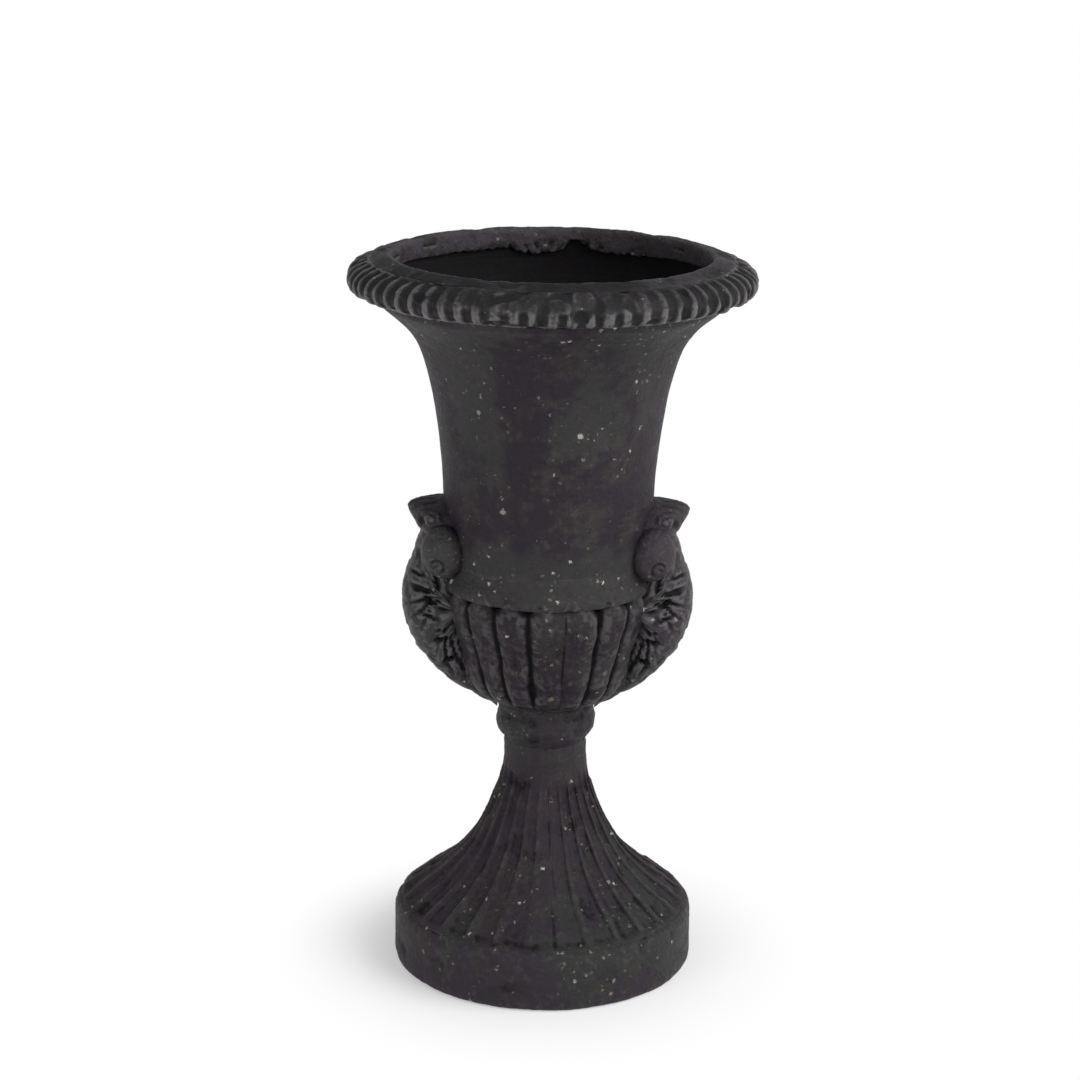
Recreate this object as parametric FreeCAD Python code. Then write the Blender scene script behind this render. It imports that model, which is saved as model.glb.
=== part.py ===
import FreeCAD, Part
import math
import os

# A black clay urn planter on a fluted foot, in millimetres: +Z up, the origin on the floor at the urn's axis.
# A pottery presses and throws such an urn as separate pieces and lutes them together with slip. Each piece is
# one solid here, and seats on its neighbours with the rebates, spigots and ledges of those joints.

# Foot: a ring plinth, and a hollow trumpet with concave flutes between sharp arrises
PLINTH_RADIUS = 115.0
PLINTH_HEIGHT = 47.0
PLINTH_WALL = 17.0
PLINTH_EDGE_ROUND = 8.0
PLINTH_FLOOR_ROUND = 3.0
FOOT_STEP = 5.0  # from the plinth's side in to the flutes
FOOT_LEDGE = 7.5  # the seat inside the plinth that carries the trumpet
FOOT_SEAT_DEPTH = 10.0
PEDESTAL_HEIGHT = 131.0
PEDESTAL_WALL = 12.0
NECK_RADIUS = 31.4
NECK_LENGTH = 14.0  # the plain stretch between the flutes and the collar
NECK_STEP = 0.5  # the flutes start this far under the neck's skin
NECK_LEAN = 8.0  # degrees from upright where the flutes leave the neck
SHANK_RADIUS = 43.4
SHANK_RISE = 73.0  # above the plinth
SWELL_RADIUS = 64.8
SWELL_RISE = 37.0
FLUTE_COUNT = 28
FLUTE_DEPTH = 2.8
SPIGOT_RADIUS = 24.0
NECK_BORE_RADIUS = 14.0

# Collar between foot and bowl: a round knop under a narrow band
KNOP_HEIGHT = 22.0
KNOP_BULGE = 6.6  # beyond the neck
BAND_HEIGHT = 9.5
BAND_SET_IN = 1.6  # from the knop's widest point
BAND_BULGE = 1.0

# Bowl with pressed lobes
BOWL_FOOT_RADIUS = 38.0
BOWL_HEIGHT = 93.0
BOWL_SET_IN = 0.5  # its widest circle, from the moulding above it
BOWL_WALL = 11.0
BOWL_FLOOR = 14.0
BOWL_SPIGOT_LENGTH = 7.0
BOWL_UNDERSIDE_LEAN = 80.0  # degrees from upright where the underside leaves the collar
BOWL_TURN_SET_IN = 20.0  # where the underside turns up into the side, from the widest circle
BOWL_TURN_RISE = 15.5
BOWL_SIDE_SET_IN = 3.0
BOWL_SIDE_RISE = 66.0
LOBE_CROWN = 7.0  # height of the lobes' round upper ends
LOBE_CROWN_SET_IN = 2.0
LOBE_COUNT = 18
LOBE_DEPTH = 5.6
DRAIN_HOLE_RADIUS = 9.0

# Moulding that covers the joint between bowl and bell
MOULDING_HEIGHT = 11.0
MOULDING_PROJECTION = 5.0  # beyond the bell's foot
MOULDING_EDGE = 3.5  # its plain lower edge
TONGUE = 5.0  # the bell's foot inside the moulding

# Bell: thrown, nearly straight below and flaring to the rim
BELL_FOOT_RADIUS = 75.5
BELL_HEIGHT = 200.5
BELL_WALL = 12.0
BELL_LEAN = 3.6  # degrees from upright at its foot
BELL_WAIST_SPREAD = 4.8  # beyond its foot
BELL_WAIST_RISE = 83.5
BELL_THROAT_SPREAD = 16.5
BELL_THROAT_RISE = 153.0
BELL_MOUTH_RADIUS = 127.0  # at the fine edge below the roll
COVE_HEIGHT = 7.0
COVE_REACH = 9.0
UPSTAND_HEIGHT = 20.0
UPSTAND_STEP = 1.0  # its skin from the fine edge
UPSTAND_WALL = 8.0

# Rim: a roll pressed into ribs, and a lip that caps it and laps down inside the mouth
ROLL_PROJECTION = 15.0  # beyond the bell's flange
ROLL_HEIGHT = 24.5
ROLL_BELLY = 9.0  # height of its widest circle above the flange
ROLL_UNDERCUT = 8.0  # from the widest circle in to the underside
ROLL_TOP_LEDGE = 2.0
RIB_COUNT = 70
RIB_DEPTH = 2.6
LIP_LAP = 3.2  # of the lip over the upstand
LIP_HEIGHT = 9.0
LIP_FALL = 4.7  # from its crest to its outer edge
LIP_CREST_SET_IN = 8.5  # from the upstand's skin
LIP_WALL = 3.8
LIP_SKIRT = 8.0
LIP_MOUTH_ROUND = 2.5

# Handles: a pressed scroll on each side with an acanthus leaf luted over it
SCROLL_SET_IN = 13.5  # the scroll fans round a line across the urn, this far inside the bell's foot
SCROLL_DROP = 28.0  # below the bell's foot
SCROLL_ROOT = 10.0
CORE_SHARE = 0.86  # the scroll's size under the leaf
CORE_WIDTH_SHARE = 0.82
LEAFLET_COUNT = 9
LEAFLET_DEPTH = 1.6
LEAFLET_SIDE_DEPTH = 3.0
ARCH_SPRING = 0.62  # how far out the sides run before the arch springs
ARCH_DRAW_IN = 0.86
VOLUTE_HALF_DEPTH = 15.0  # the bolster is oval, taller than it is deep
VOLUTE_HALF_HEIGHT = 18.5
VOLUTE_SIDES = 12
VOLUTE_WAIST = 0.8
VOLUTE_WAIST_LENGTH = 40.0
VOLUTE_END_ROUND = 9.0
VOLUTE_HALF_LENGTH = 50.0
VOLUTE_PROJECTION = 1.0  # its middle beyond the bell's foot
VOLUTE_RISE = 18.5  # above the bell's foot
VOLUTE_GROOVE_DEPTH = 3.0
VOLUTE_GROOVE_SHARE = 0.42  # the groove round the eye, and the eye, as shares of the bolster
VOLUTE_EYE_SHARE = 0.24
TIP_RISE = 45.0  # middle of the curled tip above the bell's foot
TIP_PROJECTION = 30.5  # beyond the bell's foot
TIP_THICKNESS = 20.0
TIP_HALF_WIDTH = 34.0
TIP_SAG = 5.5  # of its neck
TIP_CURL_RADIUS = 6.0
TIP_CURL_SIDES = 8

SLIP_GAP = 0.3  # the slip between a spigot and its bore

# Fan sections of a handle: angle above level, reach from the pivot line, half width
HANDLE_SECTIONS = [(-104.0, 82.0, 8.0), (-93.0, 69.5, 18.0), (-80.0, 61.5, 24.0), (-60.0, 51.5, 29.0),
                   (-40.0, 47.8, 33.0), (-18.0, 45.6, 36.0), (5.0, 46.8, 29.0), (28.0, 50.0, 25.0),
                   (46.0, 55.0, 27.0), (60.0, 67.0, 30.0), (72.0, 76.0, 30.0)]
LEAF_TOP_ANGLE = 60.0
CORE_TAIL_ANGLE = -76.0
ARCH_FACETS = 4

STRETCH_FACETS = 2  # straight facets for each stretch of a flowing profile
BELL_FACETS = 3
INSIDE_FACETS = 2
ROUND_FACETS = 2
KNOP_FACETS = 4

FULL_TURN = 360.0
FRONT = -90.0  # a lobe, a flute and a rib each face the front, -Y
QUARTER_SHARE = 1 - math.sqrt(0.5)
QUARTER_SINK = 0.25  # what is left of a lobe's depth halfway from its crest to its groove
RIM_SEARCH = 4.0
AXIS = FreeCAD.Vector(0, 0, 1)
ACROSS = FreeCAD.Vector(0, 1, 0)
ORIGIN = FreeCAD.Vector(0, 0, 0)

# Levels and radii that follow from the sizes above
collar_z = PLINTH_HEIGHT + PEDESTAL_HEIGHT
flutes_top_z = collar_z - NECK_LENGTH
bowl_z = collar_z + KNOP_HEIGHT + BAND_HEIGHT
spigot_top_z = bowl_z - BOWL_SPIGOT_LENGTH - SLIP_GAP
bowl_rim_z = bowl_z + BOWL_HEIGHT
bell_z = bowl_rim_z + MOULDING_HEIGHT
bell_top_z = bell_z + BELL_HEIGHT
roll_z = bell_top_z + COVE_HEIGHT
upstand_top_z = roll_z + UPSTAND_HEIGHT
roll_top_z = roll_z + ROLL_HEIGHT
top_z = upstand_top_z + LIP_HEIGHT

plinth_bore = PLINTH_RADIUS - PLINTH_WALL
foot_seat_radius = plinth_bore + FOOT_LEDGE
foot_seat_z = PLINTH_HEIGHT - FOOT_SEAT_DEPTH
flute_foot_radius = PLINTH_RADIUS - FOOT_STEP
knop_radius = NECK_RADIUS + KNOP_BULGE
band_radius = knop_radius - BAND_SET_IN
moulding_radius = BELL_FOOT_RADIUS + MOULDING_PROJECTION
bowl_radius = moulding_radius - BOWL_SET_IN
bowl_turn_radius = bowl_radius - BOWL_TURN_SET_IN
bowl_side_radius = bowl_radius - BOWL_SIDE_SET_IN
waist_radius = BELL_FOOT_RADIUS + BELL_WAIST_SPREAD
throat_radius = BELL_FOOT_RADIUS + BELL_THROAT_SPREAD
flange_radius = BELL_MOUTH_RADIUS + COVE_REACH
upstand_radius = BELL_MOUTH_RADIUS + UPSTAND_STEP
roll_radius = flange_radius + ROLL_PROJECTION
lip_radius = upstand_radius + LIP_LAP
bell_bore = BELL_FOOT_RADIUS - BELL_WALL
tongue_radius = bell_bore + TONGUE
bowl_floor_z = bowl_z + BOWL_FLOOR
mouth_bore = upstand_radius - UPSTAND_WALL
scroll_out = BELL_FOOT_RADIUS - SCROLL_SET_IN
scroll_z = bell_z - SCROLL_DROP
volute_out = BELL_FOOT_RADIUS + VOLUTE_PROJECTION
tip_reach = BELL_FOOT_RADIUS + TIP_PROJECTION


def point(radius, height):
    """A point of a profile, in the XZ plane."""
    return FreeCAD.Vector(radius, 0, height)


def chain(*points):
    """Straight edges from point to point."""
    return [Part.LineSegment(a, b).toShape() for a, b in zip(points, points[1:])]


def faceted(start, middle, end, facets):
    """An arc through three points, as straight facets."""
    arc = Part.Arc(start, middle, end)
    first, last = arc.FirstParameter, arc.LastParameter
    inner = [arc.value(first + (last - first) * step / facets) for step in range(1, facets)]
    return chain(start, *inner, end)


def flowing(lean, *points, facets=STRETCH_FACETS):
    """Arcs that flow into each other from point to point, the first leaving so many degrees out from upright."""
    edges = []
    for start, end in zip(points, points[1:]):
        chord = math.atan2(end.x - start.x, end.z - start.z)
        turn = chord - math.radians(lean)
        rise = start.distanceToPoint(end) / 2 * math.tan(turn / 2)
        middle = (start + end) * 0.5 + point(-math.cos(chord), math.sin(chord)) * rise
        edges += faceted(start, middle, end, facets)
        lean = math.degrees(chord + turn)
    return edges


def rounded(start, corner, end):
    """A quarter round between two points, bulging towards their corner."""
    middle = corner + (start - corner) * QUARTER_SHARE + (end - corner) * QUARTER_SHARE
    return faceted(start, middle, end, ROUND_FACETS)


def turned(edges):
    """A closed profile turned about the urn's axis."""
    return Part.Face(Part.Wire(Part.__sortEdges__(edges))).revolve(ORIGIN, AXIS, FULL_TURN)


def swung(edges, angle):
    """A profile's wire, swung about the urn's axis."""
    wire = Part.Wire(edges)
    wire.rotate(ORIGIN, AXIS, angle)
    return wire


def level_rim(faces, end):
    """The faces' closed rim that lies level with a profile's end point and passes its radius."""
    found = []
    for face in faces:
        for edge in face.Edges:
            level = all(abs(edge.valueAt(at).z - end.z) < 0.001 for at in edge.ParameterRange)
            middle = edge.valueAt(sum(edge.ParameterRange) / 2)
            near = abs(math.hypot(middle.x, middle.y) - end.x) < RIM_SEARCH
            if level and near and abs(middle.z - end.z) < 0.001:
                found.append(edge)
    return Part.Wire(Part.__sortEdges__(found))


def pleated(count, lines, plain):
    """A body whose outside is count equal sectors, each spanned by lines from its border to its middle and back.

    The middle of one sector faces the front. plain is the rest of its profile, turned about the axis, and a
    flat ring closes each of the two ends.
    """
    steps = len(lines) - 1
    half = FULL_TURN / count / 2
    wires = [swung(lines[steps - abs(step)], step * half / steps) for step in range(-steps, steps + 1)]
    sector = Part.makeLoft(wires, False, True)
    faces = []
    for number in range(count):
        copy = sector.copy()
        copy.rotate(ORIGIN, AXIS, FRONT + number * FULL_TURN / count)
        faces += copy.Faces
    plain_faces = Part.Wire(plain).revolve(ORIGIN, AXIS, FULL_TURN).Faces
    caps = []
    for at in (0, -1):
        rims = [level_rim(faces, lines[0][at].Vertexes[at].Point), level_rim(plain_faces, plain[at].Vertexes[at].Point)]
        caps += Part.makeFace(rims, "Part::FaceMakerBullseye").Faces
    shell = Part.makeShell(faces + plain_faces + caps)
    shell.sewShape()
    solid = Part.makeSolid(Part.makeShell(shell.Faces))
    if solid.Volume < 0:
        solid.reverse()
    return solid


def disc(radius, low, high):
    return Part.makeCylinder(radius, high - low, point(0, low))


def write(name, shape):
    solids = sorted(shape.Solids, key=lambda solid: -solid.Volume)
    if not shape.isValid():
        print("not valid:", name)
    if len(solids) != 1:
        print("loose pieces in", name, [round(solid.Volume, 1) for solid in solids])
    solids[0].exportStep(os.path.join("parts", name + ".step"))
    print(name, round(solids[0].Volume / 1000.0, 1), "cm3,", len(solids[0].Faces), "faces")


# Foot

def plinth_ring():
    side_low, side_high = PLINTH_FLOOR_ROUND, PLINTH_HEIGHT - PLINTH_EDGE_ROUND
    edges = chain(point(foot_seat_radius, PLINTH_HEIGHT), point(foot_seat_radius, foot_seat_z),
                  point(plinth_bore, foot_seat_z), point(plinth_bore, 0),
                  point(PLINTH_RADIUS - PLINTH_FLOOR_ROUND, 0))
    edges += rounded(point(PLINTH_RADIUS - PLINTH_FLOOR_ROUND, 0), point(PLINTH_RADIUS, 0),
                     point(PLINTH_RADIUS, side_low))
    edges += chain(point(PLINTH_RADIUS, side_low), point(PLINTH_RADIUS, side_high))
    edges += rounded(point(PLINTH_RADIUS, side_high), point(PLINTH_RADIUS, PLINTH_HEIGHT),
                     point(flute_foot_radius, PLINTH_HEIGHT))
    edges += chain(point(flute_foot_radius, PLINTH_HEIGHT), point(foot_seat_radius, PLINTH_HEIGHT))
    return turned(edges)


def flute_line(sink):
    """One line down the flutes, sunk from the arrises."""
    return flowing(180 - NECK_LEAN, point(NECK_RADIUS - NECK_STEP - sink / 4, flutes_top_z),
                   point(SHANK_RADIUS - sink * 0.7, PLINTH_HEIGHT + SHANK_RISE),
                   point(SWELL_RADIUS - sink, PLINTH_HEIGHT + SWELL_RISE - sink / 2),
                   point(flute_foot_radius - sink, PLINTH_HEIGHT))


def fluted_pedestal():
    hollow_foot = flute_foot_radius - PEDESTAL_WALL
    skirt = foot_seat_radius - SLIP_GAP
    plain = chain(point(NECK_RADIUS, flutes_top_z), point(NECK_RADIUS, collar_z),
                  point(SPIGOT_RADIUS - SLIP_GAP, collar_z), point(SPIGOT_RADIUS - SLIP_GAP, spigot_top_z),
                  point(NECK_BORE_RADIUS, spigot_top_z), point(NECK_BORE_RADIUS, flutes_top_z))
    plain += flowing(180, point(NECK_BORE_RADIUS, flutes_top_z),
                     point(SHANK_RADIUS - PEDESTAL_WALL, PLINTH_HEIGHT + SHANK_RISE - PEDESTAL_WALL / 2),
                     point(SWELL_RADIUS - PEDESTAL_WALL, PLINTH_HEIGHT + SWELL_RISE - PEDESTAL_WALL / 2),
                     point(hollow_foot, PLINTH_HEIGHT - PEDESTAL_WALL / 2), facets=INSIDE_FACETS)
    plain += chain(point(hollow_foot, PLINTH_HEIGHT - PEDESTAL_WALL / 2), point(hollow_foot, foot_seat_z),
                   point(skirt, foot_seat_z), point(skirt, PLINTH_HEIGHT))
    lines = [flute_line(0), flute_line(FLUTE_DEPTH * (1 - QUARTER_SINK)), flute_line(FLUTE_DEPTH)]
    return pleated(FLUTE_COUNT, lines, plain)


# Collar

def neck_collar():
    knop_top = collar_z + KNOP_HEIGHT
    band_foot = band_radius - BAND_BULGE
    edges = chain(point(SPIGOT_RADIUS, collar_z), point(NECK_RADIUS, collar_z))
    edges += faceted(point(NECK_RADIUS, collar_z), point(knop_radius, collar_z + KNOP_HEIGHT / 2),
                     point(band_foot - BAND_BULGE, knop_top), KNOP_FACETS)
    edges += chain(point(band_foot - BAND_BULGE, knop_top), point(band_foot, knop_top))
    edges += faceted(point(band_foot, knop_top), point(band_radius, knop_top + BAND_HEIGHT / 2),
                     point(band_foot, bowl_z), ROUND_FACETS)
    edges += chain(point(band_foot, bowl_z), point(SPIGOT_RADIUS, bowl_z), point(SPIGOT_RADIUS, collar_z))
    return turned(edges)


# Bowl

def lobe_line(sink):
    """One line up the lobes, sunk from their crests."""
    crown_z = bowl_rim_z - LOBE_CROWN
    side = point(bowl_radius - sink, crown_z)
    rim = point(bowl_radius - LOBE_DEPTH - LOBE_CROWN_SET_IN, bowl_rim_z)
    line = flowing(BOWL_UNDERSIDE_LEAN, point(BOWL_FOOT_RADIUS, bowl_z),
                   point(bowl_turn_radius - sink, bowl_z + BOWL_TURN_RISE),
                   point(bowl_side_radius - sink, bowl_z + BOWL_SIDE_RISE), side)
    lean = math.degrees(math.atan2(rim.x - side.x, rim.z - side.z)) / 2
    return line + flowing(lean, side, rim, facets=ROUND_FACETS)


def bowl_cavity_line():
    return flowing(90, point(BOWL_FOOT_RADIUS - BOWL_WALL, bowl_floor_z),
                   point(bowl_turn_radius - LOBE_DEPTH - BOWL_WALL, bowl_floor_z + BOWL_WALL),
                   point(bowl_side_radius - LOBE_DEPTH - BOWL_WALL, bowl_z + BOWL_SIDE_RISE),
                   point(bell_bore, bowl_rim_z), facets=INSIDE_FACETS)


def gadrooned_bowl():
    spigot = SPIGOT_RADIUS - SLIP_GAP
    spigot_z = bowl_z - BOWL_SPIGOT_LENGTH
    plain = chain(point(spigot, bowl_z), point(spigot, spigot_z), point(DRAIN_HOLE_RADIUS, spigot_z),
                  point(DRAIN_HOLE_RADIUS, bowl_floor_z), point(BOWL_FOOT_RADIUS - BOWL_WALL, bowl_floor_z))
    plain += bowl_cavity_line()
    lines = [lobe_line(LOBE_DEPTH), lobe_line(LOBE_DEPTH * QUARTER_SINK), lobe_line(0)]
    return pleated(LOBE_COUNT, lines, plain)


# Moulding

def shoulder_moulding():
    bore = tongue_radius + SLIP_GAP
    edge_top = bowl_rim_z + MOULDING_EDGE
    edges = chain(point(bore, bowl_rim_z), point(moulding_radius, bowl_rim_z), point(moulding_radius, edge_top))
    edges += rounded(point(moulding_radius, edge_top), point(BELL_FOOT_RADIUS, edge_top),
                     point(BELL_FOOT_RADIUS, bell_z))
    edges += chain(point(BELL_FOOT_RADIUS, bell_z), point(bore, bell_z), point(bore, bowl_rim_z))
    return turned(edges)


# Bell

def bell_outside():
    return flowing(BELL_LEAN, point(BELL_FOOT_RADIUS, bell_z), point(waist_radius, bell_z + BELL_WAIST_RISE),
                   point(throat_radius, bell_z + BELL_THROAT_RISE), point(BELL_MOUTH_RADIUS, bell_top_z),
                   facets=BELL_FACETS)


def bell_inside():
    return flowing(BELL_LEAN, point(bell_bore, bell_z),
                   point(waist_radius - BELL_WALL, bell_z + BELL_WAIST_RISE),
                   point(throat_radius - BELL_WALL, bell_z + BELL_THROAT_RISE + BELL_WALL / 4),
                   point(mouth_bore, roll_z + BELL_WALL / 2), facets=INSIDE_FACETS)


def bell():
    flange_z = roll_z - COVE_HEIGHT / 6
    edges = bell_outside()
    edges += rounded(point(BELL_MOUTH_RADIUS, bell_top_z), point(BELL_MOUTH_RADIUS, flange_z),
                     point(flange_radius, flange_z))
    edges += chain(point(flange_radius, flange_z), point(flange_radius, roll_z), point(upstand_radius, roll_z),
                   point(upstand_radius, upstand_top_z), point(mouth_bore, upstand_top_z),
                   point(mouth_bore, roll_z + BELL_WALL / 2))
    edges += bell_inside()
    edges += chain(point(bell_bore, bell_z), point(bell_bore, bowl_rim_z), point(tongue_radius, bowl_rim_z),
                   point(tongue_radius, bell_z), point(BELL_FOOT_RADIUS, bell_z))
    return turned(edges)


# Rim

def roll_line(sink):
    """One line round the roll's bulge, sunk from the ribs' crests."""
    under = point(roll_radius - ROLL_UNDERCUT, roll_z)
    belly = point(roll_radius - sink, roll_z + ROLL_BELLY)
    over = point(lip_radius + SLIP_GAP + ROLL_TOP_LEDGE, roll_top_z)
    return rounded(under, point(belly.x, under.z), belly) + rounded(belly, point(belly.x, over.z), over)


def rim_roll():
    bore = upstand_radius + SLIP_GAP
    rebate = lip_radius + SLIP_GAP
    plain = chain(point(bore, roll_z), point(bore, upstand_top_z), point(rebate, upstand_top_z),
                  point(rebate, roll_top_z))
    return pleated(RIB_COUNT, [roll_line(0), roll_line(RIB_DEPTH)], plain)  # a valley between two thin crests


def mouth_lip():
    outside = mouth_bore - SLIP_GAP
    inside = outside - LIP_WALL
    skirt_z = upstand_top_z - LIP_SKIRT
    crest = upstand_radius - LIP_CREST_SET_IN
    edges = chain(point(lip_radius, top_z - LIP_FALL), point(lip_radius, upstand_top_z),
                  point(outside, upstand_top_z), point(outside, skirt_z), point(inside, skirt_z),
                  point(inside, top_z - LIP_MOUTH_ROUND))
    edges += rounded(point(inside, top_z - LIP_MOUTH_ROUND), point(inside, top_z), point(crest, top_z))
    edges += flowing(90, point(crest, top_z), point(lip_radius, top_z - LIP_FALL), facets=ROUND_FACETS)
    return turned(edges)


# Handles, made for +X and mirrored

def between(angle, column):
    """Reach or half width of a handle at one angle of its fan."""
    for low, high in zip(HANDLE_SECTIONS, HANDLE_SECTIONS[1:]):
        if low[0] <= angle <= high[0]:
            share = (angle - low[0]) / (high[0] - low[0])
            return low[column] + share * (high[column] - low[column])
    return HANDLE_SECTIONS[-1][column]


def fan_section(angle, reach, width):
    """A closed arch across the handle, in a plane that holds the pivot line."""
    spring = reach * ARCH_SPRING
    low, high = FreeCAD.Vector(SCROLL_ROOT, -width, 0), FreeCAD.Vector(SCROLL_ROOT, width, 0)
    left, right = FreeCAD.Vector(spring, -width * ARCH_DRAW_IN, 0), FreeCAD.Vector(spring, width * ARCH_DRAW_IN, 0)
    over = faceted(left, FreeCAD.Vector(reach, 0, 0), right, ARCH_FACETS)
    wire = Part.Wire(chain(low, left) + over + chain(right, high, low))
    wire.rotate(ORIGIN, ACROSS, -angle)
    wire.translate(point(scroll_out, scroll_z))
    return wire


def scroll_core():
    """The body of the scroll, from its tail under the bowl to its neck under the tip."""
    sections = []
    for angle in [CORE_TAIL_ANGLE] + [row[0] for row in HANDLE_SECTIONS if row[0] > CORE_TAIL_ANGLE]:
        share = CORE_SHARE if angle < LEAF_TOP_ANGLE else 1
        sections.append(fan_section(angle, between(angle, 1) * share, between(angle, 2) * CORE_WIDTH_SHARE))
    return Part.makeLoft(sections, True, True)


def polygon(sides, half_depth, half_height, along):
    """A closed oval polygon round the volute's axis, at one place across the handle."""
    corners = []
    for number in range(sides):
        turn = 2 * math.pi * (number + 0.5) / sides
        corners.append(FreeCAD.Vector(half_depth * math.cos(turn), along, half_height * math.sin(turn)))
    return Part.Wire(chain(*corners, corners[0]))


def volute():
    """The oval bolster across the handle, waisted in the middle, with a grooved eye at each end."""
    end, waist_end = VOLUTE_HALF_LENGTH, VOLUTE_WAIST_LENGTH / 2
    stations = [(0, VOLUTE_WAIST), (waist_end, VOLUTE_WAIST), (waist_end + VOLUTE_END_ROUND, 1),
                (end - VOLUTE_END_ROUND, 1), (end - VOLUTE_END_ROUND / 3, QUARTER_SHARE + 0.5),
                (end, VOLUTE_GROOVE_SHARE + 0.1), (end - VOLUTE_GROOVE_DEPTH, VOLUTE_GROOVE_SHARE),
                (end, VOLUTE_EYE_SHARE)]
    rings = [polygon(VOLUTE_SIDES, VOLUTE_HALF_DEPTH * share, VOLUTE_HALF_HEIGHT * share, along)
             for along, share in stations]
    one = Part.makeLoft(rings, True, True)
    both = one.fuse(one.mirror(ORIGIN, ACROSS)).removeSplitter()
    both.translate(point(volute_out, bell_z + VOLUTE_RISE))
    return both


def tip_section(out, rise, thickness, width):
    """A closed leaf-shaped section of the tip, upright across the handle."""
    left, right = FreeCAD.Vector(out, -width, rise), FreeCAD.Vector(out, width, rise)
    return Part.Wire(faceted(left, point(out, rise + thickness / 2), right, ARCH_FACETS)
                     + faceted(right, point(out, rise - thickness / 2), left, ARCH_FACETS))


def curled_tip():
    """The leaf end that turns over at the top of the scroll, with the roll under its curl."""
    rise = bell_z + TIP_RISE
    root = scroll_out + SCROLL_ROOT / 2
    way = tip_reach - root
    tip = Part.makeLoft([tip_section(root, rise, TIP_THICKNESS * 1.4, TIP_HALF_WIDTH * 1.1),
                         tip_section(root + way * 0.3, rise - TIP_SAG / 2, TIP_THICKNESS * 1.2, TIP_HALF_WIDTH),
                         tip_section(root + way * 0.74, rise - TIP_SAG, TIP_THICKNESS, TIP_HALF_WIDTH * 0.6),
                         tip_section(root + way * 0.93, rise - TIP_SAG / 2, TIP_THICKNESS * 0.4, TIP_HALF_WIDTH * 0.3),
                         tip_section(tip_reach, rise - TIP_SAG / 4, TIP_THICKNESS * 0.1, TIP_HALF_WIDTH * 0.1)],
                        True, True)
    curl = polygon(TIP_CURL_SIDES, TIP_CURL_RADIUS, TIP_CURL_RADIUS, -TIP_HALF_WIDTH * 0.7)
    curl = Part.Face(curl).extrude(ACROSS * TIP_HALF_WIDTH * 1.4)
    curl.translate(point(root + way * 0.55, rise - TIP_CURL_RADIUS - TIP_SAG))
    return tip.fuse(curl)


def leaf_fan():
    """The whole leaf: leaflets side by side down the handle, each an arch between two creases."""
    tail = HANDLE_SECTIONS[0][0]
    step = (LEAF_TOP_ANGLE - tail) / LEAFLET_COUNT
    leaflets = []
    for number in range(LEAFLET_COUNT):
        sections = []
        for share, sink in ((0, 1), (0.5, 0), (1, 1)):
            angle = tail + (number + share) * step
            sections.append(fan_section(angle, between(angle, 1) - sink * LEAFLET_DEPTH,
                                        between(angle, 2) - sink * LEAFLET_SIDE_DEPTH))
        leaflets.append(Part.makeLoft(sections, True, True))
    return leaflets[0].multiFuse(leaflets[1:])


def urn_filled(bowl):
    """What the handles lie against: bowl, moulding, bell foot and collar, with their hollows filled."""
    wall = turned(bell_outside() + chain(point(BELL_MOUTH_RADIUS, bell_top_z), point(0, bell_top_z),
                                         point(0, bell_z), point(BELL_FOOT_RADIUS, bell_z)))
    hollow = turned(bowl_cavity_line() + chain(point(bell_bore, bowl_rim_z), point(0, bowl_rim_z),
                                               point(0, bowl_floor_z),
                                               point(BOWL_FOOT_RADIUS - BOWL_WALL, bowl_floor_z)))
    core = disc(tongue_radius + SLIP_GAP, bowl_rim_z, bell_z)
    return [wall, hollow, core, shoulder_moulding(), bowl, neck_collar()]


def outermost(shape):
    return max(shape.Solids, key=lambda solid: solid.Volume)


def handle(bowl):
    against = urn_filled(bowl)
    scroll = scroll_core().fuse([volute(), curled_tip()])
    leaf = leaf_fan().cut([scroll] + against)
    return outermost(scroll.cut(against)), outermost(leaf)


os.makedirs("parts", exist_ok=True)
lobed_bowl = gadrooned_bowl()
write("plinth_ring", plinth_ring())
write("fluted_pedestal", fluted_pedestal())
write("neck_collar", neck_collar())
write("gadrooned_bowl", lobed_bowl)
write("shoulder_moulding", shoulder_moulding())
write("bell", bell())
write("rim_roll", rim_roll())
write("mouth_lip", mouth_lip())
right_scroll, right_leaf = handle(lobed_bowl)
write("right_scroll", right_scroll)
write("right_leaf", right_leaf)
write("left_scroll", right_scroll.mirror(ORIGIN, FreeCAD.Vector(1, 0, 0)))
write("left_leaf", right_leaf.mirror(ORIGIN, FreeCAD.Vector(1, 0, 0)))
print("height", round(top_z, 1))
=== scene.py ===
import bpy, bmesh, math
import numpy as np
from mathutils import Matrix, Vector, noise


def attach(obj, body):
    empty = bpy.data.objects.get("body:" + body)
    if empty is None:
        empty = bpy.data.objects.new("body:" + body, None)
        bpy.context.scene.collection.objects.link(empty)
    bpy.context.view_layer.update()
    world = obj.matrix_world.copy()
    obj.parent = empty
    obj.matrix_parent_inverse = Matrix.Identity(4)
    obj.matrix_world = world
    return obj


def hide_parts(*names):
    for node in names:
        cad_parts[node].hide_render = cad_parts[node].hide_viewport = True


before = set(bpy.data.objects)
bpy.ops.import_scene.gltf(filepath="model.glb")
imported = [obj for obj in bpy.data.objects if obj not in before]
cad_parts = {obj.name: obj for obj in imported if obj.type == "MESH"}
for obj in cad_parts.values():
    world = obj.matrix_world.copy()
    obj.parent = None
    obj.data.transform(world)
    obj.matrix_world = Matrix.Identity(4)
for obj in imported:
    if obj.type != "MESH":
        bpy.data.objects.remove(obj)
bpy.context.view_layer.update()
bpy.context.scene.view_settings.view_transform = "Standard"


# tools of the bench

def unpick():
    bpy.ops.object.select_all(action="DESELECT")


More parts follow.
